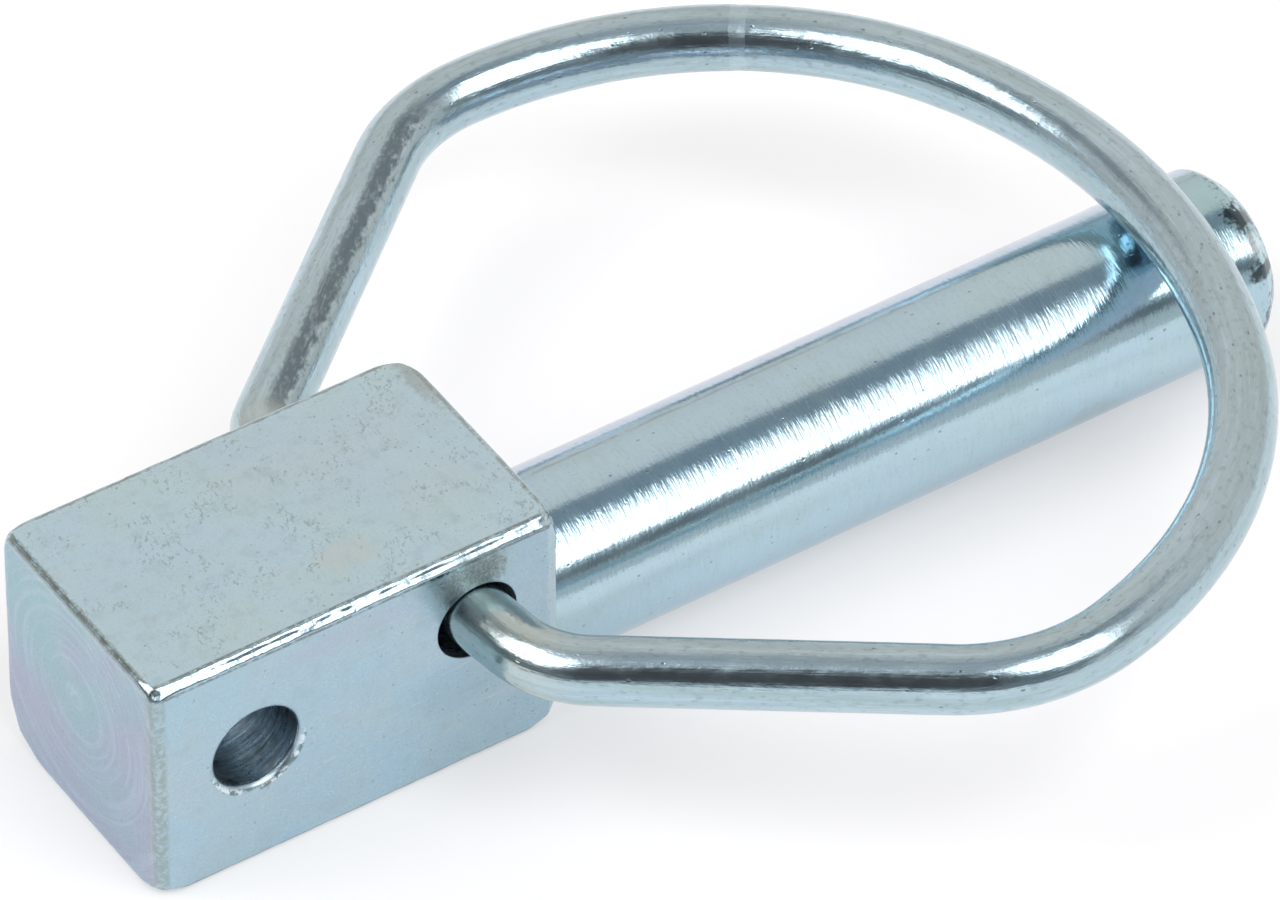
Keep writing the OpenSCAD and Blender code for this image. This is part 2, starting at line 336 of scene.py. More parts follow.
def make_ring(sides=64):
    far = np.array(side_path(*FAR, FAR_CORNER, 3.0, math.pi / 2 + SLANT, RUN / 2))
    near = np.array(side_path(*NEAR, NEAR_CORNER, 6.7, math.pi / 2 - SLANT, RUN / 2))
    # out along the far side, over the crown and back along the near side
    back = near[::-1].copy()
    centre = np.concatenate([far[:, :2], back[1:-1, :2] * np.array([1, -1])])
    head = np.concatenate([far[:, 2], -back[1:-1, 2] + math.pi])
    bend = np.concatenate([far[:, 3], back[1:-1, 3]])
    n = len(centre)
    step = np.linalg.norm(np.roll(centre, -1, 0) - centre, axis=1)
    run = np.concatenate([[0], np.cumsum(step)[:-1]])
    total = step.sum()
    # the wire is drawn a hundredth or two thinner where it bends sharply
    thin = smooth(bend * 10)
    ker = np.ones(9) / 9
    thin = np.convolve(np.concatenate([thin[-4:], thin, thin[:4]]), ker, "valid")
    phi = np.arange(sides) * 2 * np.pi / sides
    # the butt weld, on the far side before the crown
    flat = (np.array([32.92, 24.84, 7.09]) - HINGE) @ RING_AT
    weld = run[np.argmin(np.linalg.norm(centre - flat[:2], axis=1))]
    verts, wire = [], []
    for k in range(n):
        c, h = centre[k], head[k]
        nrm = np.array([-math.sin(h), math.cos(h), 0.0])
        up = np.array([0, 0, 1.0])
        local = np.stack([np.full(sides, run[k]), 2 * np.cos(phi), 2 * np.sin(phi)], 1)
        r = np.full(sides, 1.995 - 0.02 * thin[k])
        r -= 0.006 * (1 + noise(local * np.array([0.25, 1, 1]), 1.1, 41))
        r -= 0.004 * (1 + noise(local, 0.9, 42))
        d = run[k] - weld
        # a shallow fused band with a small step on its crown side
        r -= 0.035 * math.exp(-min(((d + 0.1) / 0.45) ** 2, 40))
        r -= 0.03 * float(smooth((d - 0.35) / 0.3)) * math.exp(-min(max(d - 0.5, 0), 20) / 1.2)
        ring = np.array([c[0], c[1], 0.0]) + np.outer(r * np.cos(phi), nrm) + np.outer(r * np.sin(phi), up)
        verts.append(ring)
        wire.append(local)
    verts = np.concatenate(verts) @ RING_AT.T + HINGE
    wire = np.concatenate(wire)
    faces = []
    for k in range(n):
        m = (k + 1) % n
        for j in range(sides):
            i = (j + 1) % sides
            faces.append((k * sides + j, k * sides + i, m * sides + i, m * sides + j))
    ob = mesh_object("wire_ring", verts, faces)
    att = ob.data.attributes.new("wire", "FLOAT_VECTOR", "POINT")
    att.data.foreach_set("vector", wire.astype(np.float32).ravel())
    return ob, weld, total


ring, WELD, LENGTH = make_ring()
# how far along the wire the far leg begins and ends
FAR_LEG = (13.5, 13.5 + 23.0)


def outward(ob):
    """Makes sure that the faces look outwards."""
    import bmesh

    bm = bmesh.new()
    bm.from_mesh(ob.data)
    bmesh.ops.recalc_face_normals(bm, faces=bm.faces)
    if bm.calc_volume(signed=True) < 0:
        bmesh.ops.reverse_faces(bm, faces=bm.faces)
    bm.to_mesh(ob.data)
    bm.free()


for ob, angle in ((pin, 28), (ring, 60)):
    outward(ob)
    ob.data.polygons.foreach_set("use_smooth", [True] * len(ob.data.polygons))
    ob.data.set_sharp_from_angle(angle=math.radians(angle))

# ---------------------------------------------------------------- materials


class Nodes:
    """Short calls for building a node tree."""

    def __init__(self, tree):
        self.t = tree

    def add(self, kind, **sets):
        n = self.t.nodes.new(kind)
        for k, v in sets.items():
            setattr(n, k, v)
        return n

    def put(self, sock, v):
        if isinstance(v, bpy.types.NodeSocket):
            self.t.links.new(v, sock)
        elif isinstance(v, bpy.types.Node):
            self.t.links.new(v.outputs[0], sock)
        else:
            sock.default_value = v

    def math(self, op, a, b=0.0, c=0.0, clamp=False):
        n = self.add("ShaderNodeMath", operation=op, use_clamp=clamp)
        for s, v in zip(n.inputs, (a, b, c)):
            self.put(s, v)
        return n.outputs[0]

    def vec(self, op, a, b=(0, 0, 0)):
        n = self.add("ShaderNodeVectorMath", operation=op)
        self.put(n.inputs[0], a)
        if op == "SCALE":
            self.put(n.inputs["Scale"], b)
        else:
            self.put(n.inputs[1], b)
        return n.outputs["Value"] if op in ("DOT_PRODUCT", "LENGTH", "DISTANCE") else n.outputs[0]

    def ramp(self, x, lo, hi, a=0.0, b=1.0, smoothly=True):
        n = self.add("ShaderNodeMapRange", interpolation_type="SMOOTHSTEP" if smoothly else "LINEAR")
        for s, v in zip(n.inputs, (x, lo, hi, a, b)):
            self.put(s, v)
        return n.outputs[0]

    def noise(self, vec, scale, detail=2.0, rough=0.5, distort=0.0):
        n = self.add("ShaderNodeTexNoise")
        self.put(n.inputs["Vector"], vec)
        n.inputs["Scale"].default_value = scale
        n.inputs["Detail"].default_value = detail
        n.inputs["Roughness"].default_value = rough
        n.inputs["Distortion"].default_value = distort
        return n.outputs[0]

    def mix(self, f, a, b, mode="MIX"):
        n = self.add("ShaderNodeMix", data_type="RGBA", blend_type=mode)
        n.clamp_factor = True
        self.put(n.inputs[0], f)
        for s, v in ((n.inputs[6], a), (n.inputs[7], b)):
            self.put(s, (*v, 1.0) if isinstance(v, tuple) and len(v) == 3 else v)
        return n.outputs[2]

    def xyz(self, v):
        n = self.add("ShaderNodeSeparateXYZ")
        self.put(n.inputs[0], v)
        return n.outputs

    def blob(self, p, at, size, rough=0.0, warp=None):
        """1 at a place and 0 outside it, by size in each direction; warp roughens its border."""
        q = self.vec("DIVIDE", self.vec("SUBTRACT", p, at), size)
        d = self.vec("LENGTH", q)
        if warp is not None:
            d = self.math("ADD", d, self.math("MULTIPLY", self.math("SUBTRACT", warp, 0.5), rough))
        return self.ramp(d, 0.45, 1.0, 1, 0)

    def band(self, x, at, half, soft):
        """1 where x is within half of at."""
        d = self.math("ABSOLUTE", self.math("SUBTRACT", x, at))
        return self.ramp(d, half - soft, half + soft, 1, 0)

    def specks(self, p, scale, size, share):
        """Small separate spots: size against their spacing, and the share of cells that has one."""
        n = self.add("ShaderNodeTexVoronoi")
        self.put(n.inputs["Vector"], p)
        n.inputs["Scale"].default_value = scale
        there = self.ramp(self.xyz(n.outputs["Color"])[0], share - 0.01, share + 0.01, 1, 0)
        return self.math("MULTIPLY", there, self.ramp(n.outputs["Distance"], size * 0.5, size, 1, 0))

    def times(self, *vs):
        out = vs[0]
        for v in vs[1:]:
            out = self.math("MULTIPLY", out, v)
        return out

    def join(self, x, y, z):
        n = self.add("ShaderNodeCombineXYZ")
        for s, v in zip(n.inputs, (x, y, z)):
            self.put(s, v)
        return n.outputs[0]


def new_material(name):
    m = bpy.data.materials.new(name)
    m.use_nodes = True
    m.node_tree.nodes.clear()
    nd = Nodes(m.node_tree)
    out = nd.add("ShaderNodeOutputMaterial")
    bsdf = nd.add("ShaderNodeBsdfPrincipled")
    nd.put(out.inputs["Surface"], bsdf.outputs[0])
    bsdf.inputs["Metallic"].default_value = 1.0
    return m, nd, bsdf


def bar_material():
    """Zinc over the rolled faces of the bar: satin, faintly tinted, with specks and stains, each face
    painted with its own tone for the light it catches, and edges that are beaded, with painted
    highlight and dark reflection bands on some, darker lines on others and a stain on one."""
    m, nd, bsdf = new_material("zinc_rolled")
    tc = nd.add("ShaderNodeTexCoord")
    p = nd.vec("SCALE", tc.outputs["Object"], 1000.0)
    x, y, z = nd.xyz(p)[:3]
    nx, ny, nz = nd.xyz(tc.outputs["Normal"])[:3]
    big = nd.noise(p, 0.16, 3, 0.55)
    huge = nd.noise(nd.vec("ADD", p, (5, 17, 2)), 0.07, 2, 0.5)
    mid = nd.noise(nd.vec("ADD", p, (31, 7, 3)), 0.9, 2, 0.6)
    small = nd.noise(nd.vec("ADD", p, (3, 71, 13)), 2.4, 2, 0.6)
    fine = nd.noise(p, 6.0, 1.5, 0.65)
    # distances to the six faces, and from the nearest edge
    top, bot = nd.math("SUBTRACT", 10.15, z), nd.math("ADD", z, 5.75)
    near, far = nd.math("ADD", y, 6.15), nd.math("SUBTRACT", 9.75, y)
    end, sh = nd.math("ADD", x, 26.5), nd.math("MULTIPLY", x, -1.0)
    az, ay, ax = nd.math("MINIMUM", top, bot), nd.math("MINIMUM", near, far), nd.math("MINIMUM", end, sh)
    mx = lambda a, b: nd.math("MAXIMUM", a, b)
    edge = nd.math("MINIMUM", nd.math("MINIMUM", mx(ax, ay), mx(ay, az)), mx(ax, az))
    warp = nd.math("MULTIPLY", nd.math("SUBTRACT", small, 0.5), 0.55)
    up = nd.ramp(nz, 0.55, 0.95)
    front = nd.ramp(nd.math("MULTIPLY", ny, -1.0), 0.55, 0.95)
    back = nd.ramp(nd.math("MULTIPLY", nx, -1.0), 0.55, 0.95)
    # each face's tone is painted light: the top lighter, the near face and the back end darker, as the lamps light them
    col = nd.mix(nd.ramp(big, 0.35, 0.65), (0.45, 0.60, 0.67), (0.46, 0.585, 0.63))
    col = nd.mix(up, col, nd.mix(nd.ramp(big, 0.35, 0.68), (0.485, 0.665, 0.765), (0.50, 0.665, 0.705)))
    col = nd.mix(front, col, nd.mix(nd.ramp(big, 0.35, 0.65), (0.395, 0.555, 0.655), (0.425, 0.555, 0.62)))
    col = nd.mix(back, col, nd.mix(nd.ramp(huge, 0.42, 0.58), (0.300, 0.475, 0.53), (0.36, 0.405, 0.52)))
    # film colours that wander from blue to pink to green
    col = nd.mix(nd.ramp(huge, 0.5, 0.72, 0, 0.16), col, (0.50, 0.53, 0.62))
    col = nd.mix(nd.ramp(nd.noise(nd.vec("ADD", p, (9, 1, 40)), 0.33, 3, 0.6), 0.5, 0.72, 0, 0.22), col, (0.44, 0.60, 0.60))
    col = nd.mix(nd.ramp(mid, 0.48, 0.8, 0, 0.30), col, (0.36, 0.46, 0.48))
    col = nd.mix(nd.ramp(fine, 0.52, 0.75, 0, 0.22), col, (0.30, 0.38, 0.40))
    col = nd.mix(nd.ramp(fine, 0.30, 0.44, 0.18, 0), col, (0.62, 0.76, 0.80))
    # the back end goes from teal at the top to lilac at its lower far corner
    lilac = nd.math("ADD", nd.math("MULTIPLY", nd.math("SUBTRACT", 3.0, z), 0.09), nd.math("MULTIPLY", nd.math("SUBTRACT", y, 1.0), 0.05))
    col = nd.mix(nd.times(back, nd.ramp(nd.math("ADD", lilac, nd.math("MULTIPLY", big, 0.8)), 0.45, 1.15), 0.55), col, (0.42, 0.40, 0.55))
    # patches and stains
    col = nd.mix(nd.math("MULTIPLY", nd.blob(p, (-11.5, -2.2, 10.1), (2.2, 1.5, 1.0), 0.9, mid), 0.35), col, (0.56, 0.58, 0.56))
    col = nd.mix(nd.math("MULTIPLY", nd.blob(p, (-3.8, 2.6, 10.1), (2.6, 1.9, 1.0), 0.9, mid), 0.40), col, (0.50, 0.67, 0.76))
    col = nd.mix(nd.math("MULTIPLY", nd.blob(p, (-0.3, 7.6, 9.9), (1.3, 3.6, 1.6), 1.3, small), 0.55), col, (0.34, 0.37, 0.35))
    col = nd.mix(nd.math("MULTIPLY", nd.blob(p, (-13.7, -6.1, 8.3), (6.0, 1.0, 1.2), 0.8, mid), 0.35), col, (0.44, 0.47, 0.58))
    stain = nd.blob(p, (-5.6, -6.1, 8.5), (2.9, 1.0, 1.8), 1.1, small)
    col = nd.mix(nd.times(stain, nd.ramp(fine, 0.36, 0.58, 0.30, 0.80)), col, (0.245, 0.275, 0.235))
    # a darker, bluer patch on the near face below the ring hole
    col = nd.mix(nd.math("MULTIPLY", nd.blob(p, (-6.2, -6.1, 0.6), (4.5, 1.0, 2.6), 0.9, mid), 0.35), col, (0.30, 0.43, 0.52))
    # the corner edges: painted dark reflection bands, a painted highlight, darker lines and a stain
    # painted dark reflection band along the end's top edge, mottled olive
    ab_painted_dark_band = nd.math("MULTIPLY", nd.ramp(nd.math("ADD", mx(top, end), warp), 0.30, 0.46, 1, 0), nd.ramp(small, 0.34, 0.54, 0.30, 0.85))
    col = nd.mix(ab_painted_dark_band, col, (0.24, 0.28, 0.26))
    # painted reflection: a mottled grey-green band down the end's near edge
    bb_painted_reflection = nd.math("MULTIPLY", nd.ramp(nd.math("ADD", mx(near, end), warp), 0.65, 0.95, 1, 0), nd.ramp(small, 0.38, 0.60, 0.15, 0.75))
    col = nd.mix(bb_painted_reflection, col, (0.30, 0.37, 0.35))
    c_ad = nd.times(nd.band(nd.math("ADD", mx(top, far), nd.math("MULTIPLY", warp, 0.4)), 0.30, 0.09, 0.06), nd.ramp(mid, 0.35, 0.55, 0.25, 0.8))
    col = nd.mix(c_ad, col, (0.25, 0.29, 0.29))
    # a painted dark reflection line beside the highlight on the near top edge
    bc_painted_dark_line = nd.times(nd.band(nd.math("ADD", mx(top, near), nd.math("MULTIPLY", warp, 0.25)), 0.62, 0.09, 0.06), nd.ramp(small, 0.35, 0.55, 0.35, 0.95))
    col = nd.mix(bc_painted_dark_line, col, (0.20, 0.25, 0.26))
    c_dc = nd.times(nd.band(nd.math("ADD", mx(top, sh), nd.math("MULTIPLY", warp, 0.5)), 0.33, 0.12, 0.07), nd.ramp(small, 0.38, 0.56, 0.1, 0.7))
    col = nd.mix(c_dc, col, (0.28, 0.32, 0.30))
    c_be = nd.math("MULTIPLY", nd.band(nd.math("ADD", mx(near, bot), nd.math("MULTIPLY", warp, 0.2)), 0.14, 0.12, 0.06), 0.7)
    col = nd.mix(c_be, col, (0.25, 0.32, 0.35))
    # painted highlight: a light strip down the near edge at the shoulder
    cc_painted_highlight = nd.math("MULTIPLY", nd.ramp(nd.math("ADD", mx(near, sh), warp), 0.5, 0.7, 1, 0), 0.5)
    col = nd.mix(cc_painted_highlight, col, (0.56, 0.68, 0.72))
    # specks, pits and scratches
    dots = nd.specks(nd.vec("ADD", p, (0.3, 0.1, 0.2)), 1.3, 0.15, 0.42)
    dots2 = nd.math("MULTIPLY", nd.specks(nd.vec("ADD", p, (7, 5, 3)), 3.2, 0.22, 0.22), nd.ramp(x, -16, 0, 0.25, 1.0))
    dark = nd.math("MAXIMUM", nd.math("MULTIPLY", dots, 0.6), dots2)
    # short dark scuffs in loose clusters, most of them on the top
    turn_a = nd.add("ShaderNodeVectorRotate", rotation_type="EULER_XYZ")
    nd.put(turn_a.inputs["Vector"], nd.vec("ADD", p, nd.vec("SCALE", nd.join(mid, small, mid), 0.9)))
    turn_a.inputs["Rotation"].default_value = (0.1, 0.2, -0.75)
    ca = nd.noise(nd.vec("MULTIPLY", turn_a.outputs[0], (1.5, 5.0, 5.0)), 1.0, 2, 0.65)
    cb = nd.noise(nd.vec("MULTIPLY", nd.vec("ADD", p, (3, 1, 8)), (4.6, 1.6, 2.0)), 1.0, 2, 0.65)
    cluster = nd.noise(nd.vec("ADD", p, (11, 23, 5)), 0.38, 2, 0.55)
    scuff = nd.math("MAXIMUM", nd.ramp(ca, 0.575, 0.66), nd.ramp(cb, 0.60, 0.69))
    scuff = nd.times(scuff, nd.ramp(cluster, 0.49, 0.60, 0.05, 1.0), nd.math("ADD", nd.math("MULTIPLY", up, 0.75), 0.12))
    col = nd.mix(nd.math("MULTIPLY", scuff, 0.62), col, (0.255, 0.315, 0.30))
    s1 = nd.noise(nd.vec("MULTIPLY", nd.vec("ADD", p, (0, 3, 0)), (0.16, 5.5, 5.5)), 1.0, 2, 0.5)
    rot = nd.add("ShaderNodeVectorRotate", rotation_type="EULER_XYZ")
    nd.put(rot.inputs["Vector"], p)
    rot.inputs["Rotation"].default_value = (0.15, 0.25, 0.62)
    s2 = nd.noise(nd.vec("MULTIPLY", rot.outputs[0], (0.20, 6.5, 6.5)), 1.0, 2, 0.5)
    scratch = nd.math("MAXIMUM", nd.band(s1, 0.62, 0.012, 0.008), nd.band(s2, 0.64, 0.010, 0.008))
    scratch = nd.math("MULTIPLY", scratch, nd.ramp(mid, 0.42, 0.58))
    col = nd.mix(nd.math("MULTIPLY", dark, 0.55), col, (0.14, 0.17, 0.17))
    col = nd.mix(nd.math("MULTIPLY", scratch, 0.35), col, (0.66, 0.74, 0.76))
    # the lower lip of the tether hole: bright specks painted as glints off its rounded mouth, and dark specks
    lx, lz = nd.math("ADD", x, 19.8), nd.math("SUBTRACT", z, 2.6)
    lip = nd.math("SQRT", nd.math("ADD", nd.math("MULTIPLY", lx, lx), nd.math("MULTIPLY", lz, lz)))
    lip = nd.times(front, nd.band(nd.math("ADD", lip, nd.math("MULTIPLY", warp, 0.5)), 3.0, 0.18, 0.06), nd.ramp(lz, 0.3, -0.9), nd.ramp(mid, 0.40, 0.52, 0.15, 1.0))
    col = nd.mix(nd.math("MULTIPLY", lip, nd.ramp(small, 0.47, 0.50, 0.75, 0)), col, (0.12, 0.15, 0.16))
    col = nd.mix(nd.math("MULTIPLY", lip, nd.ramp(small, 0.53, 0.56, 0, 0.85)), col, (0.80, 0.88, 0.90))
    # turning marks on the back end
    dy, dz = nd.math("SUBTRACT", y, 2.2), nd.math("SUBTRACT", z, 3.1)
    rad = nd.math("SQRT", nd.math("ADD", nd.math("MULTIPLY", dy, dy), nd.math("MULTIPLY", dz, dz)))
    rings = nd.noise(nd.join(nd.math("MULTIPLY", rad, 3.2), nd.math("MULTIPLY", y, 0.12), nd.math("MULTIPLY", z, 0.12)), 1.0, 1.5, 0.6)
    rings = nd.math("MULTIPLY", rings, back)
    col = nd.mix(nd.times(nd.ramp(rings, 0.48, 0.66), back, 0.34), col, (0.48, 0.58, 0.70))
    nd.put(bsdf.inputs["Base Color"], col)
    rough = nd.ramp(mid, 0.2, 0.8, 0.24, 0.38)
    knob = nd.blob(p, (-26.35, -6.0, 10.0), (0.75, 0.75, 0.75))
    rough = nd.math("ADD", rough, nd.math("MULTIPLY", up, 0.05))
    rough = nd.math("ADD", rough, nd.math("MULTIPLY", stain, 0.22))
    rough = nd.math("SUBTRACT", rough, nd.ramp(edge, 0.5, 0.9, 0.13, 0.0))
    rough = nd.math("ADD", rough, nd.math("MULTIPLY", knob, 0.22))
    nd.put(bsdf.inputs["Roughness"], rough)
    bead = nd.math("MULTIPLY", nd.noise(nd.vec("ADD", p, (2, 8, 5)), 1.25, 2, 0.5), nd.ramp(edge, 0.45, 0.8, 1.0, 0.06))
    h = nd.math("ADD", nd.math("MULTIPLY", bead, 1.7), nd.math("MULTIPLY", fine, 0.16))
    h = nd.math("ADD", h, nd.math("MULTIPLY", small, 0.20))
    h = nd.math("ADD", h, nd.math("MULTIPLY", rings, 0.5))
    h = nd.math("SUBTRACT", h, nd.math("MULTIPLY", dots, 0.25))
    bump = nd.add("ShaderNodeBump")
    bump.inputs["Strength"].default_value = 0.9
    bump.inputs["Distance"].default_value = 0.00003
    nd.put(bump.inputs["Height"], h)
    nd.put(bsdf.inputs["Normal"], bump.outputs[0])
    return m


def turned_material():
    """Zinc over the turned shank: bright, with fine marks running round it, a lilac film
    along the far side, painted shade on the underside, a painted dark reflection line, a painted
    reflection of the wire, and a scuffed tip with a painted highlight and dark reflection bands."""
    m, nd, bsdf = new_material("zinc_turned")
    tc = nd.add("ShaderNodeTexCoord")
    p = nd.vec("SCALE", tc.outputs["Object"], 1000.0)
    x, y, z = nd.xyz(p)[:3]
    nx, ny, nz = nd.xyz(tc.outputs["Normal"])[:3]
    marks = nd.noise(nd.vec("MULTIPLY", p, (5.6, 0.6, 0.6)), 1.0, 2, 0.62)
    coarse = nd.noise(nd.vec("MULTIPLY", p, (2.0, 0.30, 0.30)), 1.0, 1, 0.5)
    big = nd.noise(nd.vec("MULTIPLY", p, (0.09, 0.3, 0.3)), 1.0, 3, 0.6)
    mid = nd.noise(p, 0.55, 3, 0.55)
    small = nd.noise(nd.vec("ADD", p, (13, 7, 1)), 2.2, 2, 0.6)
    fine = nd.noise(p, 5.0, 1.5, 0.6)
    col = nd.mix(nd.ramp(big, 0.35, 0.65), (0.445, 0.61, 0.705), (0.455, 0.61, 0.67))
    col = nd.mix(nd.math("MULTIPLY", nd.ramp(ny, 0.30, 0.60), 0.75), col, (0.53, 0.545, 0.67))
    # painted shade: the underside darker and bluer
    col = nd.mix(nd.math("MULTIPLY", nd.ramp(nd.math("MULTIPLY", nz, -1.0), 0.15, 0.62), 0.75), col, (0.335, 0.47, 0.595))
    col = nd.mix(nd.ramp(mid, 0.5, 0.75, 0, 0.30), col, (0.40, 0.53, 0.53))
    col = nd.mix(nd.ramp(marks, 0.50, 0.72, 0, 0.14), col, (0.33, 0.44, 0.50))
    col = nd.mix(nd.ramp(marks, 0.28, 0.45, 0.12, 0), col, (0.58, 0.72, 0.78))
    col = nd.mix(nd.ramp(fine, 0.56, 0.75, 0, 0.25), col, (0.28, 0.36, 0.38))
    # a painted dark reflection line, wavy, along the upper far side
    ang = nd.math("ARCTAN2", nd.math("MULTIPLY", y, -1.0), z)
    wav = nd.math("ADD", ang, nd.math("MULTIPLY", nd.math("SUBTRACT", mid, 0.5), 0.14))
    col = nd.mix(nd.times(nd.band(wav, -0.30, 0.022, 0.022), nd.ramp(mid, 0.35, 0.6, 0.1, 0.5)), col, (0.24, 0.30, 0.34))
    # painted reflection of the ring's wire: a teal patch on the upper side of the shank next to the ring
    col = nd.mix(nd.times(nd.ramp(x, 39.0, 42.5), nd.band(ang, 0.35, 0.75, 0.3), 0.45), col, (0.36, 0.57, 0.60))
    blotch = nd.blob(p, (37.5, -4.6, -2.6), (2.6, 2.2, 2.4), 1.1, small)
    col = nd.mix(nd.math("MULTIPLY", blotch, 0.3), col, (0.34, 0.42, 0.40))
    dots = nd.specks(nd.vec("MULTIPLY", nd.vec("ADD", p, (4, 2, 9)), (0.6, 1, 1)), 1.7, 0.15, 0.30)
    col = nd.mix(nd.math("MULTIPLY", dots, 0.5), col, (0.15, 0.18, 0.19))
    # the tip's scuffed chamfer with dark ragged patches, and a painted highlight between painted dark reflection bands
    tip = nd.ramp(x, 48.9, 49.5)
    ragged = nd.math("ADD", small, nd.math("MULTIPLY", mid, 0.6))
    patch = nd.times(tip, nd.ramp(x, 50.75, 50.5), nd.ramp(ragged, 0.82, 0.94))
    col = nd.mix(nd.math("MULTIPLY", patch, 0.8), col, (0.13, 0.17, 0.20))
    rag = nd.math("SUBTRACT", small, 0.5)
    # painted highlight: a pale band on the tip
    tip_painted_highlight = nd.times(nd.band(nd.math("ADD", ang, nd.math("MULTIPLY", rag, 0.22)), 0.78, 0.12, 0.05), nd.band(nd.math("ADD", x, rag), 49.55, 0.8, 0.3), nd.ramp(x, 50.5, 50.7, 1, 0))
    col = nd.mix(nd.math("MULTIPLY", tip_painted_highlight, 0.6), col, (0.74, 0.84, 0.88))
    # painted dark reflection bands on either side of the highlight
    tip_painted_dark_bands = nd.times(nd.band(nd.math("ADD", ang, nd.math("MULTIPLY", rag, 0.45)), 0.43, 0.13, 0.04), nd.band(nd.math("ADD", x, nd.math("MULTIPLY", rag, 2.0)), 49.6, 0.85, 0.2))
    tip_painted_dark_bands = nd.math("MAXIMUM", tip_painted_dark_bands, nd.times(nd.band(nd.math("ADD", ang, nd.math("MULTIPLY", rag, 0.2)), 1.06, 0.07, 0.03), nd.ramp(nd.math("ADD", x, rag), 48.4, 48.7), nd.ramp(x, 50.5, 50.7, 1, 0)))
    col = nd.mix(nd.math("MULTIPLY", tip_painted_dark_bands, 0.9), col, (0.045, 0.06, 0.07))
    nd.put(bsdf.inputs["Base Color"], col)
    rough = nd.ramp(mid, 0.2, 0.8, 0.10, 0.19)
    nd.put(bsdf.inputs["Roughness"], nd.math("ADD", rough, nd.math("MULTIPLY", tip, 0.10)))
    h = nd.math("ADD", nd.math("MULTIPLY", marks, 1.15), nd.math("MULTIPLY", coarse, 1.0))
    h = nd.math("ADD", h, nd.math("MULTIPLY", fine, 0.40))
    h = nd.math("ADD", h, nd.math("MULTIPLY", nd.times(tip, small), 2.0))
    h = nd.math("SUBTRACT", h, nd.math("MULTIPLY", dots, 0.5))
    bump = nd.add("ShaderNodeBump")
    bump.inputs["Strength"].default_value = 0.8
    bump.inputs["Distance"].default_value = 0.000014
    nd.put(bump.inputs["Height"], h)
    nd.put(bsdf.inputs["Normal"], bump.outputs[0])
    return m


def bore_material():
    """The drilled holes: darker, with the drill's rings."""
    m, nd, bsdf = new_material("zinc_bore")
    p = nd.vec("SCALE", nd.add("ShaderNodeTexCoord").outputs["Object"], 1000.0)
    marks = nd.noise(nd.vec("MULTIPLY", p, (0.35, 4.5, 0.35)), 1.0, 3, 0.65)
    mid = nd.noise(p, 1.1, 3, 0.6)
    col = nd.mix(nd.ramp(marks, 0.35, 0.65), (0.36, 0.45, 0.53), (0.64, 0.77, 0.84))
    nd.put(bsdf.inputs["Base Color"], nd.mix(nd.ramp(mid, 0.45, 0.7, 0, 0.5), col, (0.20, 0.23, 0.22)))
    nd.put(bsdf.inputs["Roughness"], nd.ramp(mid, 0.3, 0.7, 0.22, 0.38))
    bump = nd.add("ShaderNodeBump")
    bump.inputs["Strength"].default_value = 0.9
    bump.inputs["Distance"].default_value = 0.00008
    nd.put(bump.inputs["Height"], marks)
    nd.put(bsdf.inputs["Normal"], bump.outputs[0])
    return m


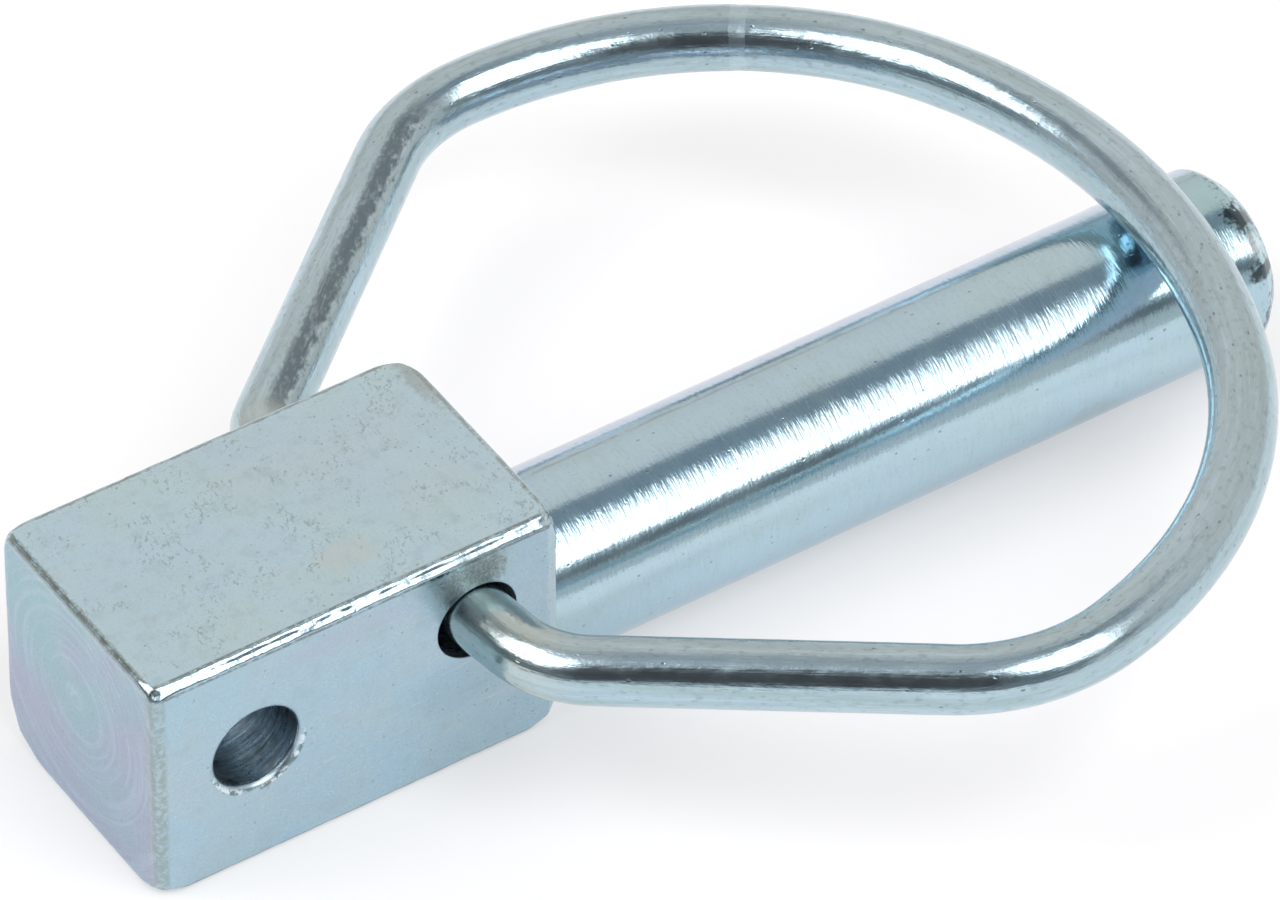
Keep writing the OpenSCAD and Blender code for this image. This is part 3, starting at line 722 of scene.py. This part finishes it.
def wire_material():
    """Zinc over drawn wire: satin on top with drawing lines and pits, painted a little darker on top
    and lighter and lilac below, a painted dark reflection streak along the far leg, and a
    lighter band at the butt weld."""
    m, nd, bsdf = new_material("zinc_wire")
    w = nd.add("ShaderNodeAttribute", attribute_name="wire").outputs["Vector"]
    run, across, lift = nd.xyz(w)[:3]
    lines = nd.noise(nd.vec("MULTIPLY", w, (0.22, 5.5, 5.5)), 1.0, 2, 0.6)
    broad = nd.noise(nd.vec("MULTIPLY", w, (0.06, 1.5, 1.5)), 1.0, 2, 0.6)
    mid = nd.noise(nd.vec("MULTIPLY", w, (0.55, 1.0, 1.0)), 0.8, 2, 0.6)
    small = nd.noise(nd.vec("MULTIPLY", w, (1.4, 2.6, 2.6)), 1.0, 2, 0.62)
    fine = nd.noise(w, 6.0, 1.5, 0.62)
    col = nd.mix(nd.ramp(broad, 0.38, 0.62), (0.41, 0.555, 0.64), (0.425, 0.56, 0.60))
    # the top is rougher, and its colour is painted shade, a little darker and greyer
    over = nd.ramp(lift, -0.3, 1.3)
    col = nd.mix(nd.math("MULTIPLY", over, 0.75), col, nd.mix(nd.ramp(mid, 0.35, 0.65), (0.41, 0.54, 0.59), (0.395, 0.505, 0.54)))
    col = nd.mix(nd.ramp(broad, 0.52, 0.66, 0, 0.45), col, (0.33, 0.445, 0.49))
    col = nd.mix(nd.ramp(broad, 0.36, 0.48, 0.35, 0), col, (0.55, 0.70, 0.77))
    # painted light: the underside lighter and lilac
    under = nd.ramp(nd.math("MULTIPLY", lift, -1.0), 0.9, 1.9)
    col = nd.mix(nd.math("MULTIPLY", under, 0.65), col, (0.52, 0.53, 0.66))
    col = nd.mix(nd.ramp(small, 0.54, 0.72, 0, 0.45), col, (0.26, 0.32, 0.33))
    col = nd.mix(nd.ramp(small, 0.28, 0.42, 0.18, 0), col, (0.58, 0.72, 0.78))
    col = nd.mix(nd.ramp(lines, 0.55, 0.74, 0, 0.30), col, (0.30, 0.38, 0.40))
    # a painted dark reflection streak along the upper side of the far leg, with a mottled edge
    leg = nd.math("MULTIPLY", nd.ramp(run, FAR_LEG[0] - 3, FAR_LEG[0] + 2), nd.ramp(run, FAR_LEG[1] + 2.0, FAR_LEG[1] + 6.5, 1, 0))
    wob = nd.math("MULTIPLY", nd.math("SUBTRACT", small, 0.5), 1.0)
    leg_painted_dark_streak = nd.times(nd.band(nd.math("ADD", across, wob), -0.80, 0.50, 0.22), nd.ramp(lift, 0.2, 0.8), leg, nd.ramp(small, 0.30, 0.52, 0.65, 1.0))
    col = nd.mix(nd.math("MULTIPLY", leg_painted_dark_streak, 0.85), col, (0.10, 0.14, 0.165))
    pits = nd.specks(nd.vec("MULTIPLY", w, (0.55, 1, 1)), 1.9, 0.17, 0.34)
    col = nd.mix(nd.math("MULTIPLY", pits, 0.6), col, (0.11, 0.14, 0.15))
    scratch = nd.times(nd.band(lines, 0.60, 0.012, 0.008), nd.ramp(mid, 0.42, 0.58))
    col = nd.mix(nd.math("MULTIPLY", scratch, 0.4), col, (0.64, 0.73, 0.76))
    # where the run goes into the head, the film is faintly yellow
    d_run = nd.math("MINIMUM", run, nd.math("SUBTRACT", LENGTH, run))
    col = nd.mix(nd.math("MULTIPLY", nd.ramp(d_run, 11.5, 15.5, 1, 0), 0.35), col, (0.58, 0.60, 0.50))
    weld = nd.band(nd.math("ADD", run, nd.math("MULTIPLY", nd.math("SUBTRACT", small, 0.5), 0.25)), WELD - 0.1, 0.52, 0.05)
    col = nd.mix(nd.math("MULTIPLY", weld, 0.28), col, (0.55, 0.69, 0.74))
    nd.put(bsdf.inputs["Base Color"], col)
    rough = nd.math("ADD", nd.ramp(mid, 0.2, 0.8, 0.07, 0.15), nd.math("MULTIPLY", over, 0.08))
    rough = nd.math("ADD", rough, nd.ramp(small, 0.45, 0.70, 0.0, 0.05))
    nd.put(bsdf.inputs["Roughness"], nd.math("ADD", rough, nd.math("MULTIPLY", weld, 0.08)))
    h = nd.math("ADD", nd.math("MULTIPLY", lines, 0.8), nd.math("MULTIPLY", fine, 0.25))
    h = nd.math("ADD", h, nd.math("MULTIPLY", small, 1.0))
    h = nd.math("ADD", h, nd.math("MULTIPLY", mid, 1.9))
    h = nd.math("SUBTRACT", h, nd.math("MULTIPLY", pits, 0.7))
    bump = nd.add("ShaderNodeBump")
    bump.inputs["Strength"].default_value = 0.8
    bump.inputs["Distance"].default_value = 0.000018
    nd.put(bump.inputs["Height"], h)
    nd.put(bsdf.inputs["Normal"], bump.outputs[0])
    return m


for m in (bar_material(), turned_material(), bore_material()):
    pin.data.materials.append(m)
co = np.zeros(len(pin.data.polygons) * 3)
pin.data.polygons.foreach_get("center", co)
co = co.reshape(-1, 3) / MM
kind = np.zeros(len(co), int)
kind[co[:, 0] > 0.004] = 1
for x, z, d, c, (sx, sz) in (RING_HOLE, TETHER_HOLE):
    into = co[:, 1] + 6.15
    off = np.hypot(co[:, 0] - x - sx * into, co[:, 2] - z - sz * into)
    kind[(off < d / 2 + 0.05) & (np.abs(co[:, 1] - 1.8) < 7.8)] = 2
pin.data.polygons.foreach_set("material_index", kind)
ring.data.materials.append(wire_material())

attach(pin, "pin")
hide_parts("pin")
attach(ring, "ring")
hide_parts("ring")

# ---------------------------------------------------------------- studio

floor_me = bpy.data.meshes.new("floor")
S, FZ = 6.0, -5.75 * MM - 0.00002
floor_me.from_pydata([(-S, -S, FZ), (S, -S, FZ), (S, S, FZ), (-S, S, FZ)], [], [(0, 1, 2, 3)])
floor = bpy.data.objects.new("floor", floor_me)
bpy.context.scene.collection.objects.link(floor)
fm = bpy.data.materials.new("floor")
fm.use_nodes = True
fb = fm.node_tree.nodes["Principled BSDF"]
fb.inputs["Base Color"].default_value = (0.55, 0.55, 0.55, 1)
fb.inputs["Roughness"].default_value = 0.9
fb.inputs["Specular IOR Level"].default_value = 0.0
fb.inputs["Emission Color"].default_value = (1, 1, 1, 1)
fb.inputs["Emission Strength"].default_value = 0.42
floor_me.materials.append(fm)

world = bpy.data.worlds.new("studio")
bpy.context.scene.world = world
world.use_nodes = True
world.node_tree.nodes.clear()
wn = Nodes(world.node_tree)
wout = wn.add("ShaderNodeOutputWorld")
back = wn.add("ShaderNodeBackground")
wn.put(wout.inputs["Surface"], back.outputs[0])
look = wn.add("ShaderNodeTexCoord").outputs["Generated"]


def direction(az, el):
    a, e = math.radians(az), math.radians(el)
    return Vector((math.cos(a) * math.cos(e), math.sin(a) * math.cos(e), math.sin(e)))


def card(az, el, x0, x1, y0, y1, soft):
    """How much of a soft-edged card stands in each direction. It faces the object from (az, el)
    and reaches x0 to x1 degrees across and y0 to y1 up from there."""
    axis = direction(az, el)
    side = Vector((-math.sin(math.radians(az)), math.cos(math.radians(az)), 0))
    up = axis.cross(side).normalized()
    z = wn.vec("DOT_PRODUCT", look, tuple(axis))
    zc = wn.math("MAXIMUM", z, 0.02)
    x = wn.math("DIVIDE", wn.vec("DOT_PRODUCT", look, tuple(side)), zc)
    y = wn.math("DIVIDE", wn.vec("DOT_PRODUCT", look, tuple(up)), zc)
    s = math.tan(math.radians(soft))
    out = wn.ramp(z, 0.02, 0.1)
    for v, lo, hi in ((x, x0, x1), (y, y0, y1)):
        lo, hi = math.tan(math.radians(lo)), math.tan(math.radians(hi))
        out = wn.times(out, wn.ramp(v, lo - s, lo + s), wn.ramp(v, hi - s, hi + s, 1, 0))
    return out


# Walls: pale behind the object, dimmer towards the camera.
lx, ly, lz = wn.xyz(look)[:3]
toward = wn.math("ADD", wn.math("MULTIPLY", lx, math.cos(math.radians(50))), wn.math("MULTIPLY", ly, math.sin(math.radians(50))))
sky = wn.mix(wn.ramp(toward, -0.9, 0.7), (0.36, 0.38, 0.42), (0.93, 0.86, 0.82))
sky = wn.mix(wn.ramp(lz, 0.1, 0.62, 0.22, 0.0), sky, (0.45, 0.42, 0.41))
sky = wn.mix(wn.ramp(lz, 0.87, 1.0), sky, (0.50, 0.51, 0.54))
# The dark side of the room, round the camera.
sky = wn.mix(card(-140, 30, -34, 32, -20, 30, 8), sky, (0.085, 0.08, 0.085))
sky = wn.mix(card(-92, 9, -24, 22, -11, 12, 6), sky, (0.26, 0.28, 0.30))
sky = wn.mix(card(-60, 6, -14, 30, -9, 8, 4), sky, (0.66, 0.67, 0.68))
sky = wn.mix(card(-64, 21.5, -40, 16, -5.0, 5.5, 2.5), sky, (0.18, 0.20, 0.22))
sky = wn.mix(card(-176, 13, -28, 24, -12, 11, 5), sky, (0.21, 0.23, 0.25))
sky = wn.mix(card(122, 45, -13, 13, -15, 15, 9), sky, (0.33, 0.33, 0.34))
sky = wn.mix(card(2, 64, -17, 9, -8, 14, 3.5), sky, (0.29, 0.33, 0.37))
sky = wn.mix(card(-138, -6, -13, 13, -10, 10, 5), sky, (0.9, 1.0, 1.05))
# Two softboxes.
sky = wn.mix(card(-72, 51, -19.5, 14.6, -18.6, 22, 2.2), sky, (4.0, 4.0, 4.1))
sky = wn.mix(card(166, 46, -18, 18, -18, 18, 2.5), sky, (4.0, 4.0, 4.1))
wn.put(back.inputs["Color"], sky)
back.inputs["Strength"].default_value = 1.0

# ---------------------------------------------------------------- camera

right = Vector((0.8344674710333768, -0.5510310720877143, 0.005366319131827252))
down = Vector((-0.37606152493142, -0.5765621283972409, -0.7253646266287727))
ahead = Vector((0.4027924642460623, 0.6032751194039979, -0.6883439264311677))
cam_data = bpy.data.cameras.new("camera")
cam_data.sensor_width = 36.0
cam_data.sensor_fit = "HORIZONTAL"
cam_data.lens = 11867.2 * 36.0 / 1280.0
cam_data.clip_start = 0.01
cam_data.clip_end = 50.0
cam = bpy.data.objects.new("camera", cam_data)
bpy.context.scene.collection.objects.link(cam)
rot = Matrix((right, -down, -ahead)).transposed()
cam.matrix_world = Matrix.Translation(Vector((-260.4777188844768, -404.44107298046697, 466.77944776161695)) * MM) @ rot.to_4x4()
bpy.context.scene.camera = cam
bpy.context.scene.view_settings.view_transform = "Standard"
